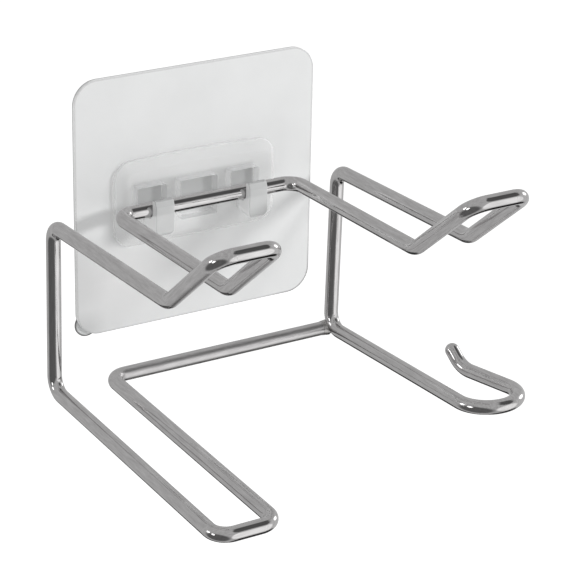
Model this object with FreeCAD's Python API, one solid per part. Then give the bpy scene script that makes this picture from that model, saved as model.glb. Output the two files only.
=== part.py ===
import FreeCAD, Part
import math
import os

# Hair dryer holder: a wire rack, bent from one length of steel wire, that hangs in the two hooks of a clear
# moulded plate on a self-adhesive sheet.
#
# Millimetres. The origin is the centre of the sheet's back face, where it meets the wall. +Y goes into the
# wall, +Z is up, and +X is to the right of a person who faces the wall. "Out" is a distance from the wall.

Vector = FreeCAD.Vector
UP = Vector(0, 0, 1)
OUTWARDS = Vector(0, -1, 0)
SIDES = {"left": -1, "right": 1}
TOLERANCE = 1e-6

# Self-adhesive sheet, from the wall outwards: release liner, adhesive, clear carrier film.
SHEET_SIZE = 80.0
SHEET_CORNER_RADIUS = 7.5
LINER_THICKNESS = 0.3
ADHESIVE_THICKNESS = 0.3
CARRIER_THICKNESS = 0.6
SHEET_THICKNESS = LINER_THICKNESS + ADHESIVE_THICKNESS + CARRIER_THICKNESS
TAB_RADIUS = 3.9  # the liner's pull tab fills the lower left corner
TAB_PROUD = 0.4  # how far the tab stands past the sheet's edges

# Hook plate
PLATE_X = -0.9  # it is bonded a little to the left of the sheet's centre
PLATE_WIDTH = 54.0
PLATE_TOP = 13.5
PLATE_BOTTOM = -13.4
PLATE_CROWN = 0.7  # rise of the top edge's middle
PLATE_THICKNESS = 3.6  # with its bond to the film
BOND_THICKNESS = 0.02
PLATE_BACK = SHEET_THICKNESS + BOND_THICKNESS
PLATE_RIM = 1.2  # upright part of the edge, below the bevel
PLATE_BEVEL_WIDTH = 3.0
PLATE_CORNER_RADIUS = 5.5
FACE_FILLET = 1.2  # where the bevel meets the face
RIM_FILLET = 0.8  # where it meets the rim

# Hooks, moulded with the plate. Each has a window behind it, and a third window lies between them.
HOOK_SPACING = 31.4
HOOK_WIDTH = 6.4
TONGUE_TOP = 3.9
TONGUE_THICKNESS = 2.4
TONGUE_CHAMFER_OUT = 0.8
TONGUE_CHAMFER_DOWN = 1.8
TONGUE_FILLET = 0.5
HOOK_BOTTOM = -7.6
HOOK_ROUND_END = -8.0  # where the round lower end of its front view would reach, were it not cut off flat
HOOK_CHIN_RADIUS = 2.2
SADDLE_CLEARANCE = 0.1
WINDOW_TOP = 5.6
HOOK_WINDOW_WIDTH = 9.6
MIDDLE_WINDOW_WIDTH = 12.4
MIDDLE_WINDOW_BOTTOM = -6.8
WINDOW_CORNER_RADIUS = 0.6

# Wire rack
WIRE_DIAMETER = 4.4
WIRE_RADIUS = WIRE_DIAMETER / 2
BEND_RADIUS = 5.0  # along the wire's centre line, at the tight corners
SADDLE_BEND_RADIUS = 7.0  # where an arm turns up into its lip
INNER_ARM_X = 30.0
OUTER_ARM_X = 48.3
BAR_OUT = SHEET_THICKNESS + 7.2
BAR_Z = 0.0
SHOULDER_OUT = 3.6  # the legs stand closer to the wall than the bar
SHOULDER_Z = -1.2
ARM_END_OUT = 75.0
ARM_END_Z = 2.9
LIP_OUT = 101.0
LIP_Z = 25.0
FOOT_OUT = WIRE_RADIUS  # the rack's two feet lean on the wall
FOOT_Z = -54.8
PLUG_SLOT_OUT = 103.0
LOWER_ARM_RISE = math.radians(4.0)  # the right lower arm slopes up away from the wall

# Cord hook, at the end of the right lower arm and in its slope
CORD_HOOK_RADIUS = 9.5
CORD_HOOK_OUT = 83.8
CORD_HOOK_CLOSING = math.radians(10.0)  # the returning strand leans in towards the arm
CORD_HOOK_RETURN = 19.5  # from the end of the turn to the bend of the tip
TIP_LENGTH = 6.5
TIP_RISE = math.radians(45.0)
TIP_BEND_RADIUS = 8.0

# Weld bead, round the end of the cross bar
BEAD_LENGTH = 1.2  # beyond the foot's surface
BEAD_DEPTH = 0.9  # past it, down the foot's sides
BEAD_ROOT_RADIUS = WIRE_RADIUS + 0.35
BEAD_TOE_RADIUS = WIRE_RADIUS + 0.1


def at(x, out, z):
    """The point at a distance out from the wall."""
    return Vector(x, -out, z)


def bend_arc(before, corner, after, radius):
    """Start, middle and end of the tangent arc that rounds a corner."""
    back = (before - corner).normalize()
    ahead = (after - corner).normalize()
    half_angle = back.getAngle(ahead) / 2
    reach = radius / math.tan(half_angle)
    inwards = (back + ahead).normalize()
    middle = corner + inwards * (radius / math.sin(half_angle) - radius)
    return corner + back * reach, middle, corner + ahead * reach


def joined(edges):
    """The edges as one wire, without those that have no length."""
    return Part.Wire([edge for edge in edges if edge is not None])


def straight(start, end):
    """A straight edge, or nothing where two arcs meet."""
    if (end - start).Length < TOLERANCE:
        return None
    return Part.LineSegment(start, end).toShape()


def rounded_outline(corners):
    """A closed wire through (point, radius) corners."""
    arcs = []
    for index, (corner, radius) in enumerate(corners):
        before = corners[index - 1][0]
        after = corners[(index + 1) % len(corners)][0]
        arcs.append(bend_arc(before, corner, after, radius))
    edges = []
    for index, (start, middle, end) in enumerate(arcs):
        edges.append(Part.Arc(start, middle, end).toShape())
        edges.append(straight(end, arcs[(index + 1) % len(arcs)][0]))
    return joined(edges)


def rounded_rectangle(x_min, x_max, z_min, z_max, radius, out):
    """A closed wire, parallel to the wall."""
    corners = [(x_min, z_min), (x_max, z_min), (x_max, z_max), (x_min, z_max)]
    return rounded_outline([(at(x, out, z), radius) for x, z in corners])


def slab(outline, thickness):
    """The outline, thickened away from the wall."""
    return Part.Face(outline).extrude(OUTWARDS * thickness)


# Self-adhesive sheet


def sheet_layer(out, thickness):
    half = SHEET_SIZE / 2
    return slab(rounded_rectangle(-half, half, -half, half, SHEET_CORNER_RADIUS, out), thickness)


def release_liner():
    tab_centre = SHEET_SIZE / 2 + TAB_PROUD - TAB_RADIUS
    tab = Part.makeCylinder(TAB_RADIUS, LINER_THICKNESS, at(-tab_centre, 0, -tab_centre), OUTWARDS)
    return sheet_layer(0, LINER_THICKNESS).fuse(tab).removeSplitter()


def adhesive_layer():
    return sheet_layer(LINER_THICKNESS, ADHESIVE_THICKNESS)


def carrier_film():
    return sheet_layer(LINER_THICKNESS + ADHESIVE_THICKNESS, CARRIER_THICKNESS)


# Hook plate


def plate_outline(inset, out):
    """The plate's edge, with a crowned top, drawn in by the inset."""
    x = PLATE_WIDTH / 2 - inset
    bottom = PLATE_BOTTOM + inset
    top = PLATE_TOP - inset
    radius = PLATE_CORNER_RADIUS - inset
    lower_right = bend_arc(at(-x, out, bottom), at(x, out, bottom), at(x, out, top), radius)
    upper_right = bend_arc(at(x, out, bottom), at(x, out, top), at(-x, out, top), radius)
    lower_left = bend_arc(at(-x, out, top), at(-x, out, bottom), at(x, out, bottom), radius)
    upper_left = bend_arc(at(x, out, top), at(-x, out, top), at(-x, out, bottom), radius)
    return Part.Wire(
        [
            straight(lower_left[2], lower_right[0]),
            Part.Arc(*lower_right).toShape(),
            straight(lower_right[2], upper_right[0]),
            Part.Arc(*upper_right).toShape(),
            Part.Arc(upper_right[2], at(0, out, top + PLATE_CROWN), upper_left[0]).toShape(),
            Part.Arc(*upper_left).toShape(),
            straight(upper_left[2], lower_left[0]),
            Part.Arc(*lower_left).toShape(),
        ]
    )


def edges_at(shape, out):
    """The edges that lie at one distance from the wall."""
    return [edge for edge in shape.Edges if max(abs(vertex.Y + out) for vertex in edge.Vertexes) < TOLERANCE]


def bevelled_plate():
    """The plate without its hooks and windows, centred on the hooks, with soft edges round its face and rim."""
    rim_out = SHEET_THICKNESS + PLATE_RIM
    face_out = SHEET_THICKNESS + PLATE_THICKNESS
    rim = slab(plate_outline(0, PLATE_BACK), rim_out - PLATE_BACK)
    bevel = Part.makeLoft([plate_outline(0, rim_out), plate_outline(PLATE_BEVEL_WIDTH, face_out)], True, True)
    plate = rim.fuse(bevel).removeSplitter()
    plate = plate.makeFillet(FACE_FILLET, edges_at(plate, face_out))
    return plate.makeFillet(RIM_FILLET, edges_at(plate, rim_out))


def hook_profile(x):
    """The hook's side view: a web from the plate, a saddle for the bar and a tongue in front of it."""
    saddle_radius = WIRE_RADIUS + SADDLE_CLEARANCE
    saddle_z = BAR_Z - saddle_radius
    tongue_back = BAR_OUT + saddle_radius
    tongue_front = tongue_back + TONGUE_THICKNESS
    saddle_middle_out = BAR_OUT + saddle_radius * math.sin(math.radians(45))
    saddle_middle_z = BAR_Z - saddle_radius * math.cos(math.radians(45))
    chin_start, chin_middle, chin_end = bend_arc(
        at(x, tongue_front, TONGUE_TOP),
        at(x, tongue_front, HOOK_BOTTOM),
        at(x, 0, HOOK_BOTTOM),
        HOOK_CHIN_RADIUS,
    )
    web_start = at(x, PLATE_BACK, saddle_z)
    saddle_start = at(x, BAR_OUT, saddle_z)
    saddle_end = at(x, tongue_back, BAR_Z)
    tongue_inner_top = at(x, tongue_back, TONGUE_TOP)
    chamfer_top = at(x, tongue_front - TONGUE_CHAMFER_OUT, TONGUE_TOP)
    chamfer_foot = at(x, tongue_front, TONGUE_TOP - TONGUE_CHAMFER_DOWN)
    web_end = at(x, PLATE_BACK, HOOK_BOTTOM)
    return Part.Wire(
        [
            straight(web_start, saddle_start),
            Part.Arc(saddle_start, at(x, saddle_middle_out, saddle_middle_z), saddle_end).toShape(),
            straight(saddle_end, tongue_inner_top),
            straight(tongue_inner_top, chamfer_top),
            straight(chamfer_top, chamfer_foot),
            straight(chamfer_foot, chin_start),
            Part.Arc(chin_start, chin_middle, chin_end).toShape(),
            straight(chin_end, web_end),
            straight(web_end, web_start),
        ]
    )


def hook(centre_x):
    """The side view along the hook's width, cut to a front view whose lower end is round, with a narrow flat."""
    left = centre_x - HOOK_WIDTH / 2
    right = centre_x + HOOK_WIDTH / 2
    shoulder_z = HOOK_ROUND_END + HOOK_WIDTH / 2
    body = Part.Face(hook_profile(left)).extrude(Vector(HOOK_WIDTH, 0, 0))
    front_view = Part.Wire(
        [
            Part.Arc(at(left, 0, shoulder_z), at(centre_x, 0, HOOK_ROUND_END), at(right, 0, shoulder_z)).toShape(),
            straight(at(right, 0, shoulder_z), at(right, 0, PLATE_TOP)),
            straight(at(right, 0, PLATE_TOP), at(left, 0, PLATE_TOP)),
            straight(at(left, 0, PLATE_TOP), at(left, 0, shoulder_z)),
        ]
    )
    body = body.common(slab(front_view, 2 * BAR_OUT))
    return body.makeFillet(TONGUE_FILLET, tongue_edges(body))


def tongue_edges(body):
    """The edges round the tongue, above the hook's round lower end."""
    tongue_back = BAR_OUT + WIRE_RADIUS + SADDLE_CLEARANCE
    lowest = HOOK_ROUND_END + HOOK_WIDTH / 2
    edges = []
    for edge in body.Edges:
        box = edge.BoundBox
        if -box.YMax > tongue_back - TOLERANCE and box.ZMin > lowest - TOLERANCE:
            edges.append(edge)
    return edges


def window(centre_x, width, bottom):
    outline = rounded_rectangle(
        centre_x - width / 2, centre_x + width / 2, bottom, WINDOW_TOP, WINDOW_CORNER_RADIUS, SHEET_THICKNESS
    )
    return slab(outline, PLATE_THICKNESS)


def hook_plate():
    plate = bevelled_plate().cut(window(0, MIDDLE_WINDOW_WIDTH, MIDDLE_WINDOW_BOTTOM))
    saddle_z = BAR_Z - WIRE_RADIUS - SADDLE_CLEARANCE
    for side in SIDES.values():
        centre_x = side * HOOK_SPACING / 2
        plate = plate.cut(window(centre_x, HOOK_WINDOW_WIDTH, saddle_z)).fuse(hook(centre_x))
    return plate.removeSplitter().translated(Vector(PLATE_X, 0, 0))


# Wire rack


def swept(edges):
    """Round wire along tangent lines and arcs."""
    path = joined(edges)
    first = path.OrderedEdges[0]
    start = first.valueAt(first.FirstParameter)
    direction = first.tangentAt(first.FirstParameter)
    if first.Orientation == "Reversed":
        start = first.valueAt(first.LastParameter)
        direction = first.tangentAt(first.LastParameter) * -1
    section = Part.Wire(Part.Circle(start, direction, WIRE_RADIUS).toShape())
    solid = path.makePipeShell([section], True, False)
    expected = math.pi * WIRE_RADIUS**2 * path.Length
    if not solid.isValid() or abs(solid.Volume / expected - 1) > 0.01:
        raise ValueError("a length of wire did not sweep cleanly")
    return solid


def bent_wire(route):
    """Named lengths of a bent wire. A route is a list of (name, corner, bend radius), and each name's length
    runs from the end of the last bend to the end of its own. The first and last corners are plain ends, and
    a length named None is another route's."""
    lengths = {}
    edges = []
    start = route[0][1]
    for index in range(1, len(route) - 1):
        name, corner, radius = route[index]
        arc = bend_arc(route[index - 1][1], corner, route[index + 1][1], radius)
        edges += [straight(start, arc[0]), Part.Arc(*arc).toShape()]
        start = arc[2]
        if name != route[index + 1][0]:
            if name is not None:
                lengths[name] = swept(edges)
            edges = []
    last_name = route[-1][0]
    if last_name is not None:
        lengths[last_name] = swept(edges + [straight(start, route[-1][1])])
    return lengths


def foot(side):
    return at(side * OUTER_ARM_X, FOOT_OUT, FOOT_Z)


def shoulder(side):
    return at(side * OUTER_ARM_X, SHOULDER_OUT, SHOULDER_Z)


def on_lower_arm(x, out):
    """A point in the slope of the right lower arm."""
    return at(x, out, FOOT_Z + (out - FOOT_OUT) * math.tan(LOWER_ARM_RISE))


def cradle(name, below_foot):
    """One side of the cradle: up the leg, out along the outer arm, over the lip and back to the bar."""
    side = SIDES[name]
    inner = side * INNER_ARM_X
    outer = side * OUTER_ARM_X
    route = [
        (None, below_foot, 0),
        (None, foot(side), BEND_RADIUS),
        (name + "_leg", shoulder(side), BEND_RADIUS),
        (name + "_outer_arm", at(outer, ARM_END_OUT, ARM_END_Z), SADDLE_BEND_RADIUS),
        (name + "_outer_lip", at(outer, LIP_OUT, LIP_Z), BEND_RADIUS),
        (name + "_lip_front", at(inner, LIP_OUT, LIP_Z), BEND_RADIUS),
        (name + "_inner_lip", at(inner, ARM_END_OUT, ARM_END_Z), SADDLE_BEND_RADIUS),
        (name + "_inner_arm", at(inner, BAR_OUT, BAR_Z), BEND_RADIUS),
        (None, at(0, BAR_OUT, BAR_Z), 0),
    ]
    return bent_wire(route)


def top_bar():
    """The straight bar that lies in the two hooks, between the bends of the inner arms."""
    half_length = INNER_ARM_X - BEND_RADIUS
    return Part.makeCylinder(WIRE_RADIUS, 2 * half_length, at(-half_length, BAR_OUT, BAR_Z), Vector(1, 0, 0))


def cord_hook_and_arm():
    """From the cord hook's tip, round the hook and back along the right lower arm to the right foot."""
    arm_x = OUTER_ARM_X
    turn_x = arm_x + CORD_HOOK_RADIUS * (1 + math.tan((math.pi / 2 + CORD_HOOK_CLOSING) / 2))
    turn = on_lower_arm(turn_x, CORD_HOOK_OUT)
    turn_reach = turn_x - arm_x - CORD_HOOK_RADIUS
    return_length = turn_reach + CORD_HOOK_RETURN
    tip_bend = on_lower_arm(
        turn_x - return_length * math.sin(CORD_HOOK_CLOSING),
        CORD_HOOK_OUT - return_length * math.cos(CORD_HOOK_CLOSING),
    )
    tip_run = (tip_bend - turn).normalize() * math.cos(TIP_RISE) + UP * math.sin(TIP_RISE)
    tip = tip_bend + tip_run * TIP_LENGTH
    route = [
        (None, tip, 0),
        ("cord_hook", tip_bend, TIP_BEND_RADIUS),
        ("cord_hook", turn, CORD_HOOK_RADIUS),
        ("cord_hook", on_lower_arm(arm_x, CORD_HOOK_OUT), CORD_HOOK_RADIUS),
        ("lower_arm", foot(1), BEND_RADIUS),
        (None, shoulder(1), 0),
    ]
    lengths = bent_wire(route)
    rounded_tip = Part.makeSphere(WIRE_RADIUS, tip)
    lengths["cord_hook"] = lengths["cord_hook"].fuse(rounded_tip).removeSplitter()
    return lengths


def plug_slot_and_cross_bar():
    """From the weld on the right foot, along the cross bar and round the plug slot to the left foot."""
    route = [
        (None, foot(1), 0),
        ("cross_bar", at(-INNER_ARM_X, FOOT_OUT, FOOT_Z), BEND_RADIUS),
        ("plug_slot_inner_arm", at(-INNER_ARM_X, PLUG_SLOT_OUT, FOOT_Z), BEND_RADIUS),
        ("plug_slot_front", at(-OUTER_ARM_X, PLUG_SLOT_OUT, FOOT_Z), BEND_RADIUS),
        ("plug_slot_outer_arm", foot(-1), BEND_RADIUS),
        (None, shoulder(-1), 0),
    ]
    return bent_wire(route)


def wire_rack():
    """Every length of the rack. The cross bar's end is cut to the foot that it is welded to."""
    rack = {"top_bar": top_bar()}
    rack.update(cradle("left", at(-OUTER_ARM_X, PLUG_SLOT_OUT, FOOT_Z)))
    rack.update(cradle("right", on_lower_arm(OUTER_ARM_X, CORD_HOOK_OUT)))
    rack.update(cord_hook_and_arm())
    rack.update(plug_slot_and_cross_bar())
    welded_foot = rack["lower_arm"].fuse(rack["right_leg"])
    rack["cross_bar"] = largest_solid(rack["cross_bar"].cut(welded_foot))
    bead_start = at(OUTER_ARM_X - WIRE_RADIUS - BEAD_LENGTH, FOOT_OUT, FOOT_Z)
    bead = Part.makeCone(BEAD_TOE_RADIUS, BEAD_ROOT_RADIUS, BEAD_LENGTH + BEAD_DEPTH, bead_start, Vector(1, 0, 0))
    rack["weld_bead"] = largest_solid(bead.cut(welded_foot).cut(rack["cross_bar"]))
    return rack


def largest_solid(shape):
    return max(shape.Solids, key=lambda solid: solid.Volume)


def write_parts():
    parts = {
        "release_liner": release_liner(),
        "adhesive_layer": adhesive_layer(),
        "carrier_film": carrier_film(),
        "hook_plate": hook_plate(),
    }
    parts.update(wire_rack())
    os.makedirs("parts", exist_ok=True)
    for name, shape in parts.items():
        print(f"{name}: {len(shape.Solids)} solid, {shape.Volume:.1f} mm3, valid {shape.isValid()}")
        shape.exportStep(f"parts/{name}.step")


write_parts()
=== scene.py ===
import math

import bpy
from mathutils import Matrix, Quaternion, Vector


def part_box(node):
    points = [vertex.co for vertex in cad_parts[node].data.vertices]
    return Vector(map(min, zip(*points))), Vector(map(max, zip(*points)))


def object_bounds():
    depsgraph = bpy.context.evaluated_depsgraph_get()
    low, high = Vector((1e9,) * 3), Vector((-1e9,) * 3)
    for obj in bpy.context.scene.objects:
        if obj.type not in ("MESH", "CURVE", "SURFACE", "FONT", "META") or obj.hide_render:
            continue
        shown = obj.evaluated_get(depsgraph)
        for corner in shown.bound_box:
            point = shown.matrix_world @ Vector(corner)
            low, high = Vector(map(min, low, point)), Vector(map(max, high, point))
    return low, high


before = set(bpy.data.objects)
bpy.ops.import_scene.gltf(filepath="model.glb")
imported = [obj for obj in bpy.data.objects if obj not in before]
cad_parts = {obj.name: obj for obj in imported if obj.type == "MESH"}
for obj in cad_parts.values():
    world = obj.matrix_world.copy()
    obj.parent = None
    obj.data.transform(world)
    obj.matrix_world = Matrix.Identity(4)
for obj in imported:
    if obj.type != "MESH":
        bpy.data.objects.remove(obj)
cad_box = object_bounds()

MM = 0.001

# Camera
CAMERA_TARGET = Vector((10.75, -39.17, -19.91)) * MM
CAMERA_AZIMUTH = -31.04
CAMERA_ELEVATION = 23.92
CAMERA_ROLL = 1.29
CAMERA_DISTANCE = 0.700
CAMERA_LENS_MM = 148.45
CAMERA_CLIP = (0.01, 50)
SENSOR_MM = 36


def direction(azimuth, elevation):
    """Unit vector towards a place round the object: azimuth 0 is in front, 90 to the right."""
    a, e = math.radians(azimuth), math.radians(elevation)
    return Vector((math.sin(a) * math.cos(e), -math.cos(a) * math.cos(e), math.sin(e)))


def placed(name, data, azimuth, elevation, distance):
    """A camera or lamp that looks at the camera's target from a direction."""
    thing = bpy.data.objects.new(name, data)
    bpy.context.scene.collection.objects.link(thing)
    back = direction(azimuth, elevation)
    thing.location = CAMERA_TARGET + back * distance
    thing.rotation_mode = "QUATERNION"
    thing.rotation_quaternion = (-back).to_track_quat("-Z", "Y")
    return thing


def make_camera():
    data = bpy.data.cameras.new("camera")
    data.lens = CAMERA_LENS_MM
    data.sensor_width = SENSOR_MM
    data.clip_start, data.clip_end = CAMERA_CLIP
    camera = placed("camera", data, CAMERA_AZIMUTH, CAMERA_ELEVATION, CAMERA_DISTANCE)
    roll = Quaternion((0, 0, 1), math.radians(CAMERA_ROLL))
    camera.rotation_quaternion = camera.rotation_quaternion @ roll
    bpy.context.scene.camera = camera


# Studio. The polished wire mirrors a soft grey room with light and dark panels round it, and the
# matt surfaces are lit evenly from all sides. A panel is (azimuth, elevation, inner angle, outer
# angle, brightness), in degrees, and a later one covers an earlier one.
ROOM = 0.51
ROOM_PANELS = [
    (85, -20, 35, 60, 0.62),
    (32, -12, 28, 37, 1.1),
    (48, 47, 15, 23, 0.10),
    (74, 58, 8, 18, 0.10),
    (-62, -25, 38, 58, 0.13),
    (84, -61, 16, 23, 0.02),
    (174, -52, 13, 22, 0.03),
    (-106, 14, 7, 9, 3.0),
    (-80, 8, 7, 9, 3.0),
    (96, 12, 9, 12, 3.0),
]
EVEN_LIGHT = 0.61
CEILING = [(0, 90, 40, 75, 0.45)]
BACKDROP = 1.0
# A lamp is (azimuth, elevation, distance, size, power), in degrees, metres and watts.
LAMPS = {
    "key": (42, 20, 0.9, 0.18, 4.9),
    "fill": (62, 48, 0.9, 0.16, 2.4),
}


def is_output(value):
    """Whether a value is another node's output, and not a number or a colour."""
    return isinstance(value, bpy.types.NodeSocket)


def background(nodes, links, brightness):
    shader = nodes.new("ShaderNodeBackground")
    if is_output(brightness):
        links.new(brightness, shader.inputs["Color"])
    else:
        shader.inputs["Color"].default_value = (brightness, brightness, brightness, 1)
    return shader.outputs["Background"]


def chosen(nodes, links, factor, otherwise, when):
    mix = nodes.new("ShaderNodeMixShader")
    links.new(factor, mix.inputs["Fac"])
    links.new(otherwise, mix.inputs[1])
    links.new(when, mix.inputs[2])
    return mix.outputs["Shader"]


def panelled(nodes, links, base, panels):
    """The brightness in each direction of a room with panels in it."""
    coordinates = nodes.new("ShaderNodeTexCoord")
    value = None
    for azimuth, elevation, inner, outer, brightness in panels:
        dot = nodes.new("ShaderNodeVectorMath")
        dot.operation = "DOT_PRODUCT"
        dot.inputs[1].default_value = direction(azimuth, elevation)
        links.new(coordinates.outputs["Generated"], dot.inputs[0])
        edge = nodes.new("ShaderNodeMapRange")
        edge.interpolation_type = "SMOOTHSTEP"
        edge.inputs["From Min"].default_value = math.cos(math.radians(outer))
        edge.inputs["From Max"].default_value = math.cos(math.radians(inner))
        links.new(dot.outputs["Value"], edge.inputs["Value"])
        blend = nodes.new("ShaderNodeMix")
        blend.data_type = "FLOAT"
        links.new(edge.outputs["Result"], blend.inputs["Factor"])
        blend.inputs["A"].default_value = base
        blend.inputs["B"].default_value = brightness
        if value is not None:
            links.new(value, blend.inputs["A"])
        value = blend.outputs["Result"]
    return value


def make_world():
    world = bpy.data.worlds.new("studio")
    bpy.context.scene.world = world
    world.use_nodes = True
    nodes, links = world.node_tree.nodes, world.node_tree.links
    nodes.clear()
    path = nodes.new("ShaderNodeLightPath")
    room = background(nodes, links, panelled(nodes, links, ROOM, ROOM_PANELS))
    even = background(nodes, links, panelled(nodes, links, EVEN_LIGHT, CEILING))
    backdrop = background(nodes, links, BACKDROP)
    lit = chosen(nodes, links, path.outputs["Is Glossy Ray"], even, room)
    seen = chosen(nodes, links, path.outputs["Is Camera Ray"], lit, backdrop)
    output = nodes.new("ShaderNodeOutputWorld")
    links.new(seen, output.inputs["Surface"])


def make_lamps():
    for name, (azimuth, elevation, distance, size, power) in LAMPS.items():
        light = bpy.data.lights.new(name, "AREA")
        light.shape = "DISK"
        light.size = size
        light.energy = power
        placed(name, light, azimuth, elevation, distance).visible_glossy = False


FLOOR_DROP = 0.8
FLOOR_SIZE = 12.0
FLOOR_WHITE = (0.98, 0.98, 0.98, 1)
FLOOR_ROUGHNESS = 0.9
FLOOR_GLOW = 0.6
FLOOR_GLOW_COLOUR = (1, 1, 1, 1)


def make_floor():
    half = FLOOR_SIZE / 2
    z = cad_box[0].z - FLOOR_DROP
    mesh = bpy.data.meshes.new("floor")
    corners = [(-half, -half, z), (half, -half, z), (half, half, z), (-half, half, z)]
    mesh.from_pydata(corners, [], [(0, 1, 2, 3)])
    floor = bpy.data.objects.new("floor", mesh)
    bpy.context.scene.collection.objects.link(floor)
    floor.visible_glossy = False
    material = bpy.data.materials.new("floor_white")
    material.use_nodes = True
    shader = material.node_tree.nodes["Principled BSDF"]
    shader.inputs["Base Color"].default_value = FLOOR_WHITE
    shader.inputs["Roughness"].default_value = FLOOR_ROUGHNESS
    shader.inputs["Emission Color"].default_value = FLOOR_GLOW_COLOUR
    shader.inputs["Emission Strength"].default_value = FLOOR_GLOW
    mesh.materials.append(material)


# Materials. Grain sizes and bump depths are in millimetres, and a gloss is a range of roughness.
LOW_DETAIL = 2
HIGH_DETAIL = 3
NOISE_ROUGHNESS = 0.55
NOISE_SPREAD = (0.3, 0.7)  # most of a noise texture's values lie between these
FACING_SPREAD = (0.5, 0.9)  # the part of a normal along an axis, from not facing it to facing it


class Material:
    """A node material with a Principled shader, and short ways to add the finishes' nodes."""

    def __init__(self, name, **sockets):
        self.material = bpy.data.materials.new(name)
        self.material.use_nodes = True
        self.nodes = self.material.node_tree.nodes
        self.links = self.material.node_tree.links
        self.shader = self.nodes["Principled BSDF"]
        for socket, value in sockets.items():
            self.shader.inputs[socket].default_value = value

    def give(self, socket, value):
        """Sets a node's input to a number or a colour, or to another node's output."""
        if is_output(value):
            self.links.new(value, socket)
        elif socket.type == "RGBA":
            socket.default_value = (*value, 1)
        else:
            socket.default_value = value

    def shade(self, socket, value):
        """Sets an input of the Principled shader."""
        self.give(self.shader.inputs[socket], value)

    def noise(self, sizes, turn=(0, 0, 0), detail=LOW_DETAIL, roughness=NOISE_ROUGHNESS):
        """Noise with grains of three sizes along the axes of a turned frame."""
        source = self.nodes.new("ShaderNodeTexCoord")
        mapping = self.nodes.new("ShaderNodeMapping")
        mapping.vector_type = "TEXTURE"
        mapping.inputs["Rotation"].default_value = turn
        mapping.inputs["Scale"].default_value = [size * MM for size in sizes]
        self.give(mapping.inputs["Vector"], source.outputs["Object"])
        texture = self.nodes.new("ShaderNodeTexNoise")
        texture.inputs["Scale"].default_value = 1
        texture.inputs["Detail"].default_value = detail
        texture.inputs["Roughness"].default_value = roughness
        self.give(texture.inputs["Vector"], mapping.outputs["Vector"])
        return texture.outputs["Fac"]

    def cloud(self, size, detail=LOW_DETAIL):
        """Noise with grains of one size in all directions."""
        return self.noise((size, size, size), detail=detail)

    def ranged(self, value, low, high, start=NOISE_SPREAD[0], end=NOISE_SPREAD[1]):
        """The value from start to end, spread over low to high."""
        spread = self.nodes.new("ShaderNodeMapRange")
        spread.inputs["From Min"].default_value = start
        spread.inputs["From Max"].default_value = end
        spread.inputs["To Min"].default_value = low
        spread.inputs["To Max"].default_value = high
        self.give(spread.inputs["Value"], value)
        return spread.outputs["Result"]

    def between(self, factor, first, second):
        """A colour between two, each a colour or another node's output."""
        mix = self.nodes.new("ShaderNodeMix")
        mix.data_type = "RGBA"
        colour_sockets = [socket for socket in mix.inputs if socket.type == "RGBA"]
        for socket, value in zip(colour_sockets, (first, second)):
            self.give(socket, value)
        self.give(mix.inputs["Factor"], factor)
        return next(socket for socket in mix.outputs if socket.type == "RGBA")

    def mottled(self, noise, colours):
        """A colour that wanders between two with a noise."""
        return self.between(self.ranged(noise, 0, 1), *colours)

    def bump(self, height, depth):
        node = self.nodes.new("ShaderNodeBump")
        node.inputs["Distance"].default_value = depth * MM
        self.give(node.inputs["Height"], height)
        self.shade("Normal", node.outputs["Normal"])

    def computed(self, operation, first, second=0):
        node = self.nodes.new("ShaderNodeMath")
        node.operation = operation
        for socket, value in zip(node.inputs, (first, second)):
            self.give(socket, value)
        return node.outputs["Value"]

    def larger(self, first, second):
        return self.computed("MAXIMUM", first, second)

    def times(self, first, second):
        return self.computed("MULTIPLY", first, second)

    def position(self, axis):
        """Millimetres along an axis of the object's own frame."""
        source = self.nodes.new("ShaderNodeTexCoord")
        split = self.nodes.new("ShaderNodeSeparateXYZ")
        self.give(split.inputs["Vector"], source.outputs["Object"])
        return self.times(split.outputs[axis], 1 / MM)

    def distance(self, axis, middle):
        """Millimetres from a place on an axis, either way."""
        offset = self.computed("SUBTRACT", self.position(axis), middle)
        return self.computed("ABSOLUTE", offset)

    def patch(self, centre, reach, fade):
        """1 in a rectangle on the wall, given by its centre and half its sides, 0 outside it."""
        sides = []
        for axis, middle, half in zip("XZ", centre, reach):
            sides.append(self.ranged(self.distance(axis, middle), 1, 0, half - fade, half))
        return self.times(*sides)

    def outline(self, centre, half, radius, width):
        """1 on and outside a rounded square's outline on the wall, 0 a line's width inside it."""
        squares = []
        for axis, middle in zip("XZ", centre):
            past = self.computed("SUBTRACT", self.distance(axis, middle), half - radius)
            squares.append(self.computed("POWER", self.larger(past, 0), 2))
        reached = self.computed("SQRT", self.computed("ADD", *squares))
        return self.ranged(reached, 0, 1, radius - width, radius - width / 2)

    def facing(self, axis):
        """1 on the faces square to an axis, such as "Y" for the wall's, and 0 on the rest."""
        geometry = self.nodes.new("ShaderNodeNewGeometry")
        split = self.nodes.new("ShaderNodeSeparateXYZ")
        self.give(split.inputs["Vector"], geometry.outputs["Normal"])
        return self.ranged(self.computed("ABSOLUTE", split.outputs[axis]), 0, 1, *FACING_SPREAD)


# Steel wire
WIRE_COLOURS = ((0.57, 0.56, 0.56), (0.71, 0.70, 0.70))
WIRE_LINES = (0.25, 14, 0.25)
WIRE_STREAKS = (0.7, 6, 0.7)
WIRE_NOISE_ROUGHNESS = 0.6
WIRE_BUMP = 0.004
WIRE_GLOSS = (0.06, 0.15)
FRONT_WIRE_GLOSS = (0.03, 0.08)
CROSS_BAR_GLOSS = (0.30, 0.42)
WELD_COLOURS = ((0.42, 0.41, 0.40), (0.62, 0.61, 0.60))
WELD_RIPPLES = (0.5, 0.7, 0.7)
WELD_GLOSS = (0.2, 0.38)
WELD_BUMP = 0.08


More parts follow.
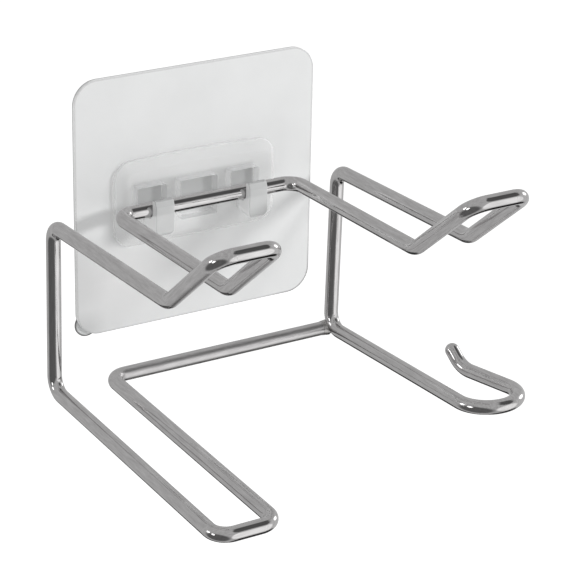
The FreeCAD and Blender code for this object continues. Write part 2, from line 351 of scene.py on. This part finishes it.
def wire_material(name, turn, gloss=WIRE_GLOSS):
    """Drawn and polished wire: the die's fine lines run along its local Y."""
    steel = Material(name, Metallic=1)
    lines = steel.noise(WIRE_LINES, turn, LOW_DETAIL, WIRE_NOISE_ROUGHNESS)
    streaks = steel.noise(WIRE_STREAKS, turn, HIGH_DETAIL, WIRE_NOISE_ROUGHNESS)
    steel.shade("Base Color", steel.mottled(streaks, WIRE_COLOURS))
    steel.shade("Roughness", steel.ranged(lines, *gloss))
    steel.bump(lines, WIRE_BUMP)
    return steel.material


def weld_material():
    """The bead: duller, with ripples from the weld."""
    weld = Material("weld", Metallic=1)
    ripples = weld.noise(WELD_RIPPLES, detail=HIGH_DETAIL)
    weld.shade("Base Color", weld.mottled(ripples, WELD_COLOURS))
    weld.shade("Roughness", weld.ranged(ripples, *WELD_GLOSS))
    weld.bump(ripples, WELD_BUMP)
    return weld.material


# Clear plate and hooks. Haze is how much of the milky colour hides what is behind it. BOND_OUT is
# how far the film's face is from the wall, in millimetres. The plate's back is bonded there and
# can't be seen, and its haze begins over BOND_FADE. The hooks' finish begins over HOOKS_OUT.
BOND_OUT = 1.2
BOND_FADE = (BOND_OUT + 0.05, BOND_OUT + 0.3)
HOOKS_OUT = (5.0, 7.0)
CLEAR_IOR = 1.49
CLEAR_GLOSS = (0.04, 0.12)
CLEAR_CLOUD = 6
CLEAR_GRAIN = 0.8
CLEAR_BUMP = 0.05
PLATE_MILK = ((0.82, 0.825, 0.825), (0.87, 0.875, 0.875))
FACE_HAZE = 0.22
WALL_HAZE = 0.35
HOOK_FACE_HAZE = 0.8
HOOK_CAP_HAZE = 0.3
HOOK_SIDE_HAZE = 0.65
HOOK_MILK = (0.47, 0.475, 0.475)
# A painted glint: the hooks' sides that face along X are near white.
HOOK_PAINTED_GLINT = (0.95, 0.955, 0.955)


def clear_material():
    """Moulded clear plastic: the plate shows the film, and the hooks look milky, with a painted
    glint on their sides.
    """
    clear = Material("clear_moulding", IOR=CLEAR_IOR)
    out = clear.times(clear.position("Y"), -1)
    cloud = clear.cloud(CLEAR_CLOUD)
    hook = clear.ranged(out, 0, 1, *HOOKS_OUT)
    facing = clear.facing("Y")
    side = clear.facing("X")
    plate_haze = clear.ranged(facing, WALL_HAZE, FACE_HAZE, 0, 1)
    hook_haze = clear.ranged(facing, HOOK_CAP_HAZE, HOOK_FACE_HAZE, 0, 1)
    hook_haze = clear.larger(hook_haze, clear.times(side, HOOK_SIDE_HAZE))
    haze = clear.larger(plate_haze, clear.times(hook_haze, hook))
    clear.shade("Alpha", clear.times(haze, clear.ranged(out, 0, 1, *BOND_FADE)))
    plate_milk = clear.mottled(cloud, PLATE_MILK)
    # Painted highlight: the hooks' sides facing along X take the near-white glint colour.
    hook_milk_and_glint = clear.between(side, HOOK_MILK, HOOK_PAINTED_GLINT)
    clear.shade("Base Color", clear.between(hook, plate_milk, hook_milk_and_glint))
    clear.shade("Roughness", clear.ranged(clear.cloud(CLEAR_GRAIN), *CLEAR_GLOSS))
    clear.bump(cloud, CLEAR_BUMP)
    return clear.material


# Sheet, in millimetres on the wall from the sheet's centre. A patch has a centre, half its width
# and height, and the width of its soft border. The tab stands TAB_PROUD past the sheet's edges.
SHEET_SIZE = 80.0
SHEET_CORNER_RADIUS = 7.5
LINER_THICKNESS = 0.3
TAB_RADIUS = 3.9
TAB_PROUD = 0.4
LINE_WIDTH = 0.6
FILM_COLOURS = ((0.59, 0.595, 0.595), (0.625, 0.63, 0.63))
FILM_CLOUD = 22
FILM_GRAIN = 0.5
FILM_GLOSS = (0.28, 0.42)
FILM_BUMP = 0.1
FILM_EDGE = (0.86, 0.865, 0.865)
FILM_LINE = (0.28, 0.28, 0.28)
# The cut edge has a thin dark line, and painted shade makes it darker towards the lower right
# corner.
LINE_STRENGTH = (0.32, 0.95)  # along most of the edge, and at the lower right corner
LINE_SHADE_CORNER = (62, 74)  # X minus Z, where the line grows stronger
# A painted pool of light: the film is lighter at the lower left, lifting the rack's cast shadow
# there.
FILM_PAINTED_LIGHT = (0.71, 0.71, 0.71)
PAINTED_LIGHT_CENTRE = (-26.0, -24.0)
PAINTED_LIGHT_REACH = (18.0, 14.0)
PAINTED_LIGHT_FADE = 14.0
# Painted shade: a dark band on the film behind the plate's windows and under the top bar.
WINDOW_SHADE_GREY = (0.43, 0.435, 0.435)
WINDOW_SHADE_CENTRE = (-0.9, 2.2)
WINDOW_SHADE_REACH = (21.0, 4.5)
WINDOW_SHADE_FADE = 1.2
TAB_GREY = (0.50, 0.505, 0.505)
TAB_CENTRE = (-39.0, -38.0)
TAB_REACH = (9.0, 6.5)
TAB_FADE = 6.0
TAB_LINE = (0.12, 0.12, 0.12)
GEL_COLOURS = ((0.70, 0.71, 0.70), (0.76, 0.77, 0.76))
GEL_CLOUD = 5
GEL_ROUGHNESS = 0.3
GEL_BUMP = 0.02
LINER_COLOURS = ((0.52, 0.53, 0.53), (0.58, 0.59, 0.59))
LINER_CLOUD = 12
LINER_GLOSS = (0.22, 0.36)
LINER_BUMP = 0.05
LINER_EDGE = (0.40, 0.40, 0.40)


def film_material():
    """Faintly milky film with a thin line along its cut edge, darkened towards the lower right
    corner by painted shade. It has a painted light patch at the lower left and a painted shade band
    behind the plate's windows, and it is darker round the lower left corner, where the tab is.
    """
    film = Material("carrier_film")
    cloud = film.cloud(FILM_CLOUD, HIGH_DETAIL)
    face = film.mottled(cloud, FILM_COLOURS)
    # Painted light: a soft lighter patch on the film's lower left.
    face = film.between(film.patch(PAINTED_LIGHT_CENTRE, PAINTED_LIGHT_REACH, PAINTED_LIGHT_FADE), face, FILM_PAINTED_LIGHT)
    # Painted shade on the film behind the plate's windows.
    face = film.between(film.patch(WINDOW_SHADE_CENTRE, WINDOW_SHADE_REACH, WINDOW_SHADE_FADE), face, WINDOW_SHADE_GREY)
    # The film is darker round the lower left corner, where the tab is.
    face = film.between(film.patch(TAB_CENTRE, TAB_REACH, TAB_FADE), face, TAB_GREY)
    # Painted shade: the edge line grows darker towards the lower right corner.
    towards_corner = film.computed("SUBTRACT", film.position("X"), film.position("Z"))
    strength = film.ranged(towards_corner, *LINE_STRENGTH, *LINE_SHADE_CORNER)
    line = film.outline((0, 0), SHEET_SIZE / 2, SHEET_CORNER_RADIUS, LINE_WIDTH)
    face = film.between(film.times(line, strength), face, FILM_LINE)
    film.shade("Base Color", film.between(film.facing("Y"), FILM_EDGE, face))
    film.shade("Roughness", film.ranged(film.cloud(FILM_GRAIN), *FILM_GLOSS))
    film.bump(cloud, FILM_BUMP)
    return film.material


def adhesive_material():
    """Clear gel: only its cut edge shows, between the film and the liner."""
    gel = Material("adhesive", Roughness=GEL_ROUGHNESS)
    cloud = gel.cloud(GEL_CLOUD, HIGH_DETAIL)
    gel.shade("Base Color", gel.mottled(cloud, GEL_COLOURS))
    gel.bump(cloud, GEL_BUMP)
    return gel.material


def liner_material():
    """Release liner: plain from behind, with a dark line round the tab that shows past the film."""
    liner = Material("liner")
    cloud = liner.cloud(LINER_CLOUD, HIGH_DETAIL)
    tab_centre = TAB_RADIUS - TAB_PROUD - SHEET_SIZE / 2
    line = liner.outline((tab_centre, tab_centre), TAB_RADIUS, TAB_RADIUS, LINE_WIDTH)
    front = liner.ranged(liner.position("Y"), 1, 0, -LINER_THICKNESS, 0)
    face = liner.between(liner.times(line, front), liner.mottled(cloud, LINER_COLOURS), TAB_LINE)
    liner.shade("Base Color", liner.between(liner.facing("Y"), LINER_EDGE, face))
    liner.shade("Roughness", liner.ranged(cloud, *LINER_GLOSS))
    liner.bump(cloud, LINER_BUMP)
    return liner.material


def assign(node, material):
    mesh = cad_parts[node].data
    mesh.materials.clear()
    mesh.materials.append(material)


def lip_turn():
    """The turn about X that lays local Y along a lip, which climbs away from the wall."""
    low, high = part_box("left_outer_lip")
    return math.atan2(low.z - high.z, high.y - low.y)


def finish_wires():
    quarter = math.pi / 2
    outwards = wire_material("wire_outwards", (0, 0, 0))
    sideways = wire_material("wire_sideways", (0, 0, quarter), FRONT_WIRE_GLOSS)
    upright = wire_material("wire_upright", (quarter, 0, 0))
    sloping = wire_material("wire_sloping", (lip_turn(), 0, 0))
    duller = wire_material("wire_cross_bar", (0, 0, quarter), CROSS_BAR_GLOSS)
    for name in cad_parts:
        if name.endswith(("_arm", "cord_hook")):
            assign(name, outwards)
        elif name.endswith(("_front", "_bar")):
            assign(name, sideways)
        elif name.endswith("_leg"):
            assign(name, upright)
        elif name.endswith("_lip"):
            assign(name, sloping)
    assign("cross_bar", duller)


make_camera()
make_world()
make_floor()
make_lamps()
finish_wires()
assign("weld_bead", weld_material())
assign("carrier_film", film_material())
assign("adhesive_layer", adhesive_material())
assign("release_liner", liner_material())
assign("hook_plate", clear_material())
for name in ("carrier_film", "adhesive_layer", "release_liner"):
    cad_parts[name].visible_glossy = False

bpy.context.scene.view_settings.view_transform = "Standard"
